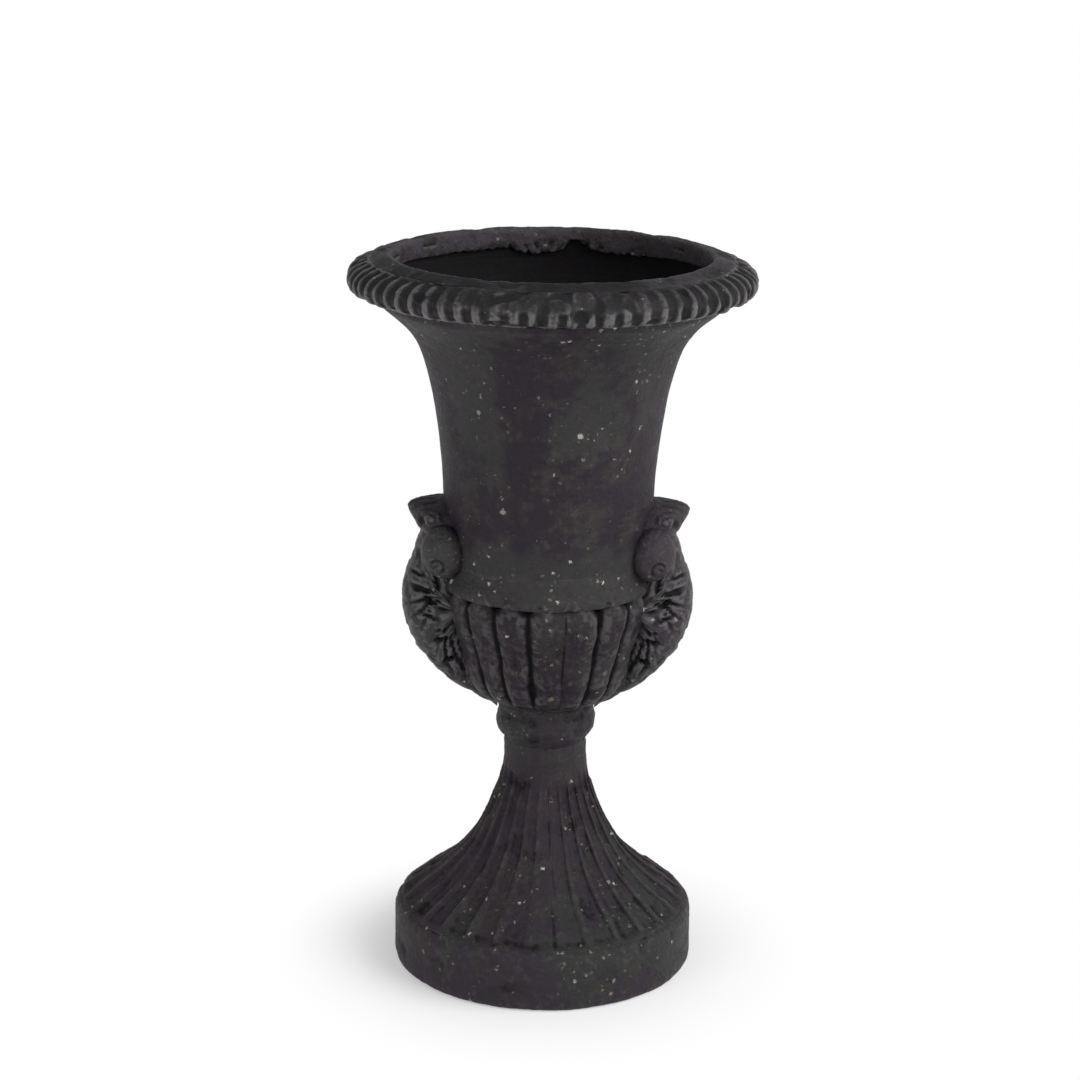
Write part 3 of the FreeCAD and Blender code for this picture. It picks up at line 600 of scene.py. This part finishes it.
handleShape = {
    "outer": [(-106.5, 88.9), (-104.2, 83.4), (-93.5, 71.8), (-80.3, 63.2), (-68.7, 56.4), (-55.5, 51.8),
              (-48.7, 50.2), (-35.5, 48.2), (-23.0, 46.8), (-10.6, 46.5), (7.1, 47.5), (23.8, 49.6), (35.3, 51.2),
              (45.4, 54.6), (53.4, 60.0), (59.6, 66.6), (68, 74)],
    "halfWidth": [(-106.5, 12), (-93, 21), (-80, 26), (-60, 31), (-40, 35), (-18, 38), (5, 37), (28, 35), (46, 32),
                  (60, 30), (72, 31)],
    "pivot": (62.0, 285.5), "gather": (81.0, 300.0), "setIn": 5.0,
    "boss": {"place": (77.3, 36.0, 332.0), "size": (16.8, 15.0, 19.6), "tilt": 8},
}
leafShape = {
    "angles": (-106.5, 171), "around": 104, "fingerPitch": 15.5, "veinPitch": 5.2, "fingerDepth": 3.2, "pitDepth": 5.5,
    "dent": 1.4, "weather": (1.1, 11, 0.6, 3.4),
    "pits": ((93, 302, 10, 3.2, 0.12), (86, 294, 8, 3.5, 0.3), (97, 312, 7, 2, 0.1), (88, 282, 8, 2.2, 0.25),
             (78, 262, 7, 2.2, -0.2), (72, 246, 6, 2.4, -0.5)),  # out, height, half length, half height, slope
}
wallOf = [(196, 31), (203, 34), (209, 36), (215, 50), (225, 59), (240, 65.5), (255, 70), (269, 74.6), (281, 78),
          (292, 79.6), (303, 80), (313, 75.5), (345, 77.5), (372, 79), (397, 80.3)]


def loft(name, sections):  # skins a row of closed rings, whose ends are closed too
    mesh = bpy.data.meshes.new(name)
    piece = bpy.data.objects.new(name, mesh)
    bpy.context.scene.collection.objects.link(piece)
    skin = bmesh.new()
    rings = [[skin.verts.new(Vector(point) / 1000) for point in section] for section in sections]
    for ring, following in zip(rings, rings[1:]):
        for spot in range(len(ring)):
            after = (spot + 1) % len(ring)
            skin.faces.new((ring[spot], ring[after], following[after], following[spot]))
    for ring in (rings[0], rings[-1]):
        middle = skin.verts.new(sum((vertex.co for vertex in ring), Vector()) / len(ring))
        for spot in range(len(ring)):
            skin.faces.new((ring[spot], ring[(spot + 1) % len(ring)], middle))
    bmesh.ops.recalc_face_normals(skin, faces=skin.faces)
    skin.to_mesh(mesh)
    skin.free()
    return piece


def fanRing(angle, share, widthShare, count):
    # an arch across the handle, standing on a chord inside the wall
    reach = between(angle, handleShape["outer"]) * share
    width = between(angle, handleShape["halfWidth"]) * widthShare
    out = (math.cos(math.radians(angle)), math.sin(math.radians(angle)))
    ring = []
    for step in range(count):
        swing = 2 * math.pi * step / count
        side, up = math.sin(swing), math.cos(swing)
        across = width * math.copysign(abs(side) ** 0.75, side)
        away = reach * (0.16 + 0.84 * max(up, 0) ** 0.55)
        ring.append((handleShape["pivot"][0] + away * out[0], across, handleShape["pivot"][1] + away * out[1]))
    return ring


def contourLength():  # how far along the handle's outline each direction from the gathering point looks
    table, length, last = [], 0, None
    for step in range(0, 181):
        angle = 62 - step * 168 / 180
        reach = between(angle, handleShape["outer"])
        x = handleShape["pivot"][0] + reach * math.cos(math.radians(angle))
        z = handleShape["pivot"][1] + reach * math.sin(math.radians(angle))
        if last:
            length += math.hypot(x - last[0], z - last[1])
        last = (x, z)
        gather = handleShape["gather"]
        look = math.degrees(math.atan2(z - gather[1], x - gather[0]))
        table.append((-look, length))
    return table


alongOutline = contourLength()


def leafFinger(x, y, z):
    # grooves between the leaf's fingers run from near the outline to the point where the leaf gathers
    gather = handleShape["gather"]
    look = math.degrees(math.atan2(z - gather[1], abs(x) - gather[0]))
    if look > 120:
        look -= 360
    along = between(-look, alongOutline) + 8 * wander(x, y, z, 24, 31) + 3 * wander(x, y, z, 8, 36)
    reach = math.hypot(abs(x) - handleShape["pivot"][0], z - handleShape["pivot"][1])
    turn = math.degrees(math.atan2(z - handleShape["pivot"][1], abs(x) - handleShape["pivot"][0]))
    fade = 1 - 0.85 * ease((reach / between(turn, handleShape["outer"]) - 0.72) / 0.24)
    finger = along / leafShape["fingerPitch"]
    split = abs((finger % 1) - 0.5) * 2
    strength = 0.55 + 0.9 * wander(math.floor(finger + 0.5) * 13, y, 0, 17, 35)
    side = ease((abs(y) - 6) / 12)
    cut = ease(split * 1.7 - 0.7) * strength
    crease = abs((along / leafShape["veinPitch"] % 1) - 0.5) * 2
    vein = ease(crease * 1.3 - 0.3) * 0.16 * (0.4 + 1.3 * wander(x, y, z, 11, 32))
    boss = handleShape["boss"]["place"]
    band = near(math.hypot(abs(x) - boss[0], z - boss[2]) + 2 * wander(x, y, z, 14, 37), 23.5, 3) * 0.35
    return max(cut, vein, band) * side * fade


def leafPit(x, y, z):  # a few deep pits where the folds gather beside the bowl
    for out, height, half, tall, slope in leafShape["pits"]:
        along, off = abs(x) - out, z - height - (abs(x) - out) * slope + 1.5 * wander(x, y, z, 6, 33)
        depth = near(along, 0, half) * near(off, 0, tall)
        if depth > 0.01:
            return depth * ease((abs(y) - 8) / 10)
    return 0


def clearOfWall(piece, depth):  # what reaches through the urn's wall is laid against it, depth mm inside its skin
    for vertex in piece.data.vertices:
        spot = vertex.co * 1000
        least = between(spot.z, wallOf) - depth
        reach = math.hypot(spot.x, spot.y)
        if reach < least:
            vertex.co.x *= least / reach
            vertex.co.y *= least / reach


def makeLeaf(name):
    rings = []
    lowest, steps = leafShape["angles"]
    for step in range(steps):
        angle = lowest + step
        rings.append(fanRing(angle, 1.0 - 0.12 * ease((angle - 52) / 12), 1.0, leafShape["around"]))
    leaf = loft(name, rings)
    leaf.data.attributes.new("sunk", "FLOAT", "POINT")
    clearOfWall(leaf, handleShape["setIn"])
    press(leaf, leafShape["fingerDepth"], leafFinger, 0.35)
    # the pits also get deep painted shade
    press(leaf, leafShape["pitDepth"], leafPit, 1.3)
    press(leaf, leafShape["dent"],
          lambda x, y, z: ease(wander(x, y, z, 11, 34) * 2.2 - 0.2) * ease((abs(y) - 5) / 12), 0.1)
    weather(leaf, *leafShape["weather"])
    return leaf


def ball(place, size, tilt=0):  # an egg of clay, by its middle and half sizes in mm
    unpick()
    bpy.ops.mesh.primitive_uv_sphere_add(segments=48, ring_count=32, radius=0.001, location=Vector(place) / 1000,
                                         rotation=(0, math.radians(tilt), 0))
    part = bpy.context.object
    part.scale = size
    bpy.ops.object.transform_apply(location=True, rotation=True, scale=True)
    return part


scrollShape = {
    "around": 64, "rings": 61, "angles": (-70, 138), "voxel": 0.0011, "smoothing": (0.5, 3),
    "bolster": ((75, 0, 330), (19, 38, 15)), "knob": ((85, 25, 354), (8.0, 7.5, 6.0)),
    "cheek": ((94, 14, 351), (5.0, 7.0, 6.0)),
    "curlDepth": 1.3, "dent": 1.0, "stripeDepth": 0.8, "eyeDepth": 0.8, "pitDepth": 1.6, "weather": (0.7, 11, 0.4, 3.4),
    "tip": [  # out from the axis, top, underside, half width, how far its sides hang
        (66, 366, 336, 30, 4), (72, 365.8, 337, 32, 5), (78, 365.6, 338.5, 33, 5), (84, 365.2, 340, 32, 5.5),
        (89, 364.8, 341.5, 29, 5.5), (93, 364.4, 342.6, 24, 5), (96, 363.9, 344.6, 19, 4),
        (98.4, 363.4, 347.2, 14.5, 3), (101, 362.7, 350.4, 10.5, 2), (103.2, 361.6, 353.4, 7, 1),
        (104.9, 360.2, 356, 4, 0.5), (105.6, 359, 357.6, 1.4, 0)],
}


def tipRing(out, top, under, width, droop):
    ring, count = [], scrollShape["around"]
    for step in range(count):
        swing = 2 * math.pi * step / count
        across, up = math.cos(swing), math.sin(swing)
        sag = droop * across * across
        height = top if up > 0 else under
        ring.append((out, width * across, (top + under) / 2 + (height - (top + under) / 2) * abs(up) ** 0.7 - sag))
    return ring


def spiral(x, y, z):  # the curl on each boss
    boss = handleShape["boss"]["place"]
    dx, dz = abs(x) - boss[0] - 5.5, z - boss[2] + 8.0
    if abs(y) < boss[1]:
        return 0
    reach, turn = math.hypot(dx, dz), math.atan2(dz, dx) / (2 * math.pi)
    track = 2.4 + 5.0 * ((turn + 0.2) % 1)
    track += 2.0 * wander(x, y, z, 9, 40)  # not quite round
    return max(near(reach, track, 2.2) * (0.6 + wander(x, y, z, 7, 38)), near(reach, 0, 1.8)) * 0.8


def tipStripe(x, y, z):  # fine ridges run out along the tip's top
    across = abs(y) * (1 + (abs(x) - 80) * 0.02) + 3 * wander(x, y, z, 12, 39)
    return near(across % 9, 4.5, 3.5) * ease((z - 355) / 5) * ease((abs(x) - 80) / 8)


def knobEye(x, y, z):  # a faint ring on the knob beside the tip
    return near(math.hypot(abs(x) - 86, z - 355.5), 3.6 + 2 * wander(x, y, z, 6, 45), 1.8) if abs(y) > 24 else 0


def tipPit(x, y, z):
    return near(math.hypot(abs(x) - 95, z - 352), 0, 6) * ease((abs(y) - 8) / 6)


def makeScroll(name):
    rings = []
    lowest, sweep = scrollShape["angles"]
    for step in range(scrollShape["rings"]):
        angle = lowest + step * sweep / (scrollShape["rings"] - 1)
        rings.append(fanRing(angle, 0.84 + 0.14 * ease((step - 42) / 12), 0.8, scrollShape["around"]))
    neck = loft(name, rings)
    parts = [neck, loft("tip", [tipRing(*row) for row in scrollShape["tip"]])]
    boss = handleShape["boss"]
    for side in (-1, 1):
        for (x, y, z), size, tilt in ((boss["place"], boss["size"], boss["tilt"]), (*scrollShape["knob"], 0),
                                      (*scrollShape["cheek"], 0)):
            parts.append(ball((x, side * y, z), size, tilt))
    parts.append(ball(*scrollShape["bolster"]))
    unpick()
    for part in parts:
        part.select_set(True)
    bpy.context.view_layer.objects.active = neck
    bpy.ops.object.join()
    clearOfWall(neck, handleShape["setIn"])
    melt = neck.modifiers.new("melted together", "REMESH")
    melt.mode = "VOXEL"
    melt.voxel_size = scrollShape["voxel"]
    bpy.ops.object.modifier_apply(modifier=melt.name)
    soften = neck.modifiers.new("softened", "SMOOTH")
    soften.factor, soften.iterations = scrollShape["smoothing"]
    bpy.ops.object.modifier_apply(modifier=soften.name)
    neck.data.attributes.new("sunk", "FLOAT", "POINT")
    # the curl and the tip's pit also get painted shade
    press(neck, scrollShape["curlDepth"], spiral, 0.9)
    press(neck, scrollShape["dent"],
          lambda x, y, z: ease(wander(x, y, z, 12, 46) * 2.2 - 0.2) * ease((abs(y) - 10) / 8), 0.15)
    press(neck, scrollShape["stripeDepth"], tipStripe, 0.2)
    press(neck, scrollShape["eyeDepth"], knobEye, 0.0)
    press(neck, scrollShape["pitDepth"], tipPit, 0.9)
    weather(neck, *scrollShape["weather"])
    return neck


def mirrored(piece, name):
    twin = piece.copy()
    twin.data = piece.data.copy()
    twin.name = twin.data.name = name
    bpy.context.scene.collection.objects.link(twin)
    only(twin)
    bpy.ops.object.mode_set(mode="EDIT")
    bpy.ops.mesh.select_all(action="SELECT")
    bpy.ops.transform.mirror(constraint_axis=(True, False, False), center_override=(0, 0, 0))
    bpy.ops.mesh.normals_make_consistent(inside=False)
    bpy.ops.object.mode_set(mode="OBJECT")
    return twin


for part in ("scroll", "leaf"):
    right = makeScroll("rightScroll") if part == "scroll" else makeLeaf("rightLeaf")
    left = mirrored(right, "left" + part.capitalize())
    finishPiece(right, handleClay, "handle_clay", "right_" + part, depth=0.6)
    finishPiece(left, handleClay, "handle_clay", "left_" + part, depth=0.6)
print("handles done")


# floor, light and camera

studio = {
    "paper": grey(0.9, 0.9, 0.9), "white": grey(1, 1, 1), "skyStrength": 0.4, "floorSize": 60,
    "shadowFrom": 0.105, "shadowTo": 0.215, "leastWhite": 0.35,  # m from the axis, over which the shadow gives way
    "key": {"place": (1.75, -0.75, 1.55), "aim": (0, 0, 0.25), "size": 1.9, "power": 57},
    "fill": {"place": (-1.7, -1.7, 0.55), "aim": (0, 0, 0.2), "size": 1.2, "power": 22},
    "camera": {"lens": 88.28, "sensor": 36, "place": (-0.0062, -1.90967, 0.87773), "down": 15.946, "roll": 0.845},
}


def paleFloor():  # paper that shows the shadow beside the urn, and turns to plain white away from it
    bench = Bench("paleFloor")
    place = bench.node("ShaderNodeTexCoord", {}, {}, "Object")
    away = bench.node("ShaderNodeVectorMath", {"operation": "LENGTH"}, {0: place}, 1)
    seen = bench.node("ShaderNodeLightPath", {}, {}, "Is Camera Ray")
    glossy = bench.node("ShaderNodeLightPath", {}, {}, "Is Glossy Ray")
    through = bench.node("ShaderNodeLightPath", {}, {}, "Is Transmission Ray")
    paper = bench.node("ShaderNodeBsdfDiffuse", {}, {"Color": studio["paper"]})
    white = bench.node("ShaderNodeEmission", {}, {"Color": studio["white"], "Strength": 1.0})
    clear = bench.step(away, studio["shadowFrom"], studio["shadowTo"])
    share = (seen + glossy + through) * (studio["leastWhite"] + (1 - studio["leastWhite"]) * clear)
    return bench.finish(bench.node("ShaderNodeMixShader", {}, {0: share, 1: paper, 2: white}))


unpick()
bpy.ops.mesh.primitive_plane_add(size=studio["floorSize"], location=(0, 0, 0))
floor = bpy.context.object
floor.name = "floor"
bpy.ops.object.transform_apply(location=True, rotation=True, scale=True)
floor.data.materials.append(paleFloor())

world = bpy.data.worlds.new("studio")
bpy.context.scene.world = world
world.use_nodes = True
sky = world.node_tree
sky.nodes.clear()
path = sky.nodes.new("ShaderNodeLightPath")
soft = sky.nodes.new("ShaderNodeBackground")
soft.inputs["Color"].default_value = studio["white"]
soft.inputs["Strength"].default_value = studio["skyStrength"]
plain = sky.nodes.new("ShaderNodeBackground")
plain.inputs["Strength"].default_value = 1.0
plain.inputs["Color"].default_value = studio["white"]
either = sky.nodes.new("ShaderNodeMixShader")
output = sky.nodes.new("ShaderNodeOutputWorld")
sky.links.new(path.outputs["Is Camera Ray"], either.inputs[0])
sky.links.new(soft.outputs[0], either.inputs[1])
sky.links.new(plain.outputs[0], either.inputs[2])
sky.links.new(either.outputs[0], output.inputs[0])


def lamp(name, look):
    unpick()
    bpy.ops.object.light_add(type="AREA", location=look["place"])
    light = bpy.context.object
    light.name = name
    light.data.shape = "SQUARE"
    light.data.size = look["size"]
    light.data.energy = look["power"]
    light.rotation_mode = "QUATERNION"
    light.rotation_quaternion = (Vector(look["aim"]) - Vector(look["place"])).to_track_quat("-Z", "Y")


lamp("keyLamp", studio["key"])
lamp("fillLamp", studio["fill"])

cameraView = studio["camera"]
unpick()
bpy.ops.object.camera_add(location=cameraView["place"])
camera = bpy.context.object
camera.data.lens = cameraView["lens"]
camera.data.sensor_width = cameraView["sensor"]
turn = (Matrix.Rotation(math.radians(90 - cameraView["down"]), 4, "X")
        @ Matrix.Rotation(math.radians(cameraView["roll"]), 4, "Z"))
camera.matrix_world = Matrix.Translation(cameraView["place"]) @ turn
bpy.context.scene.camera = camera
print("studio done")
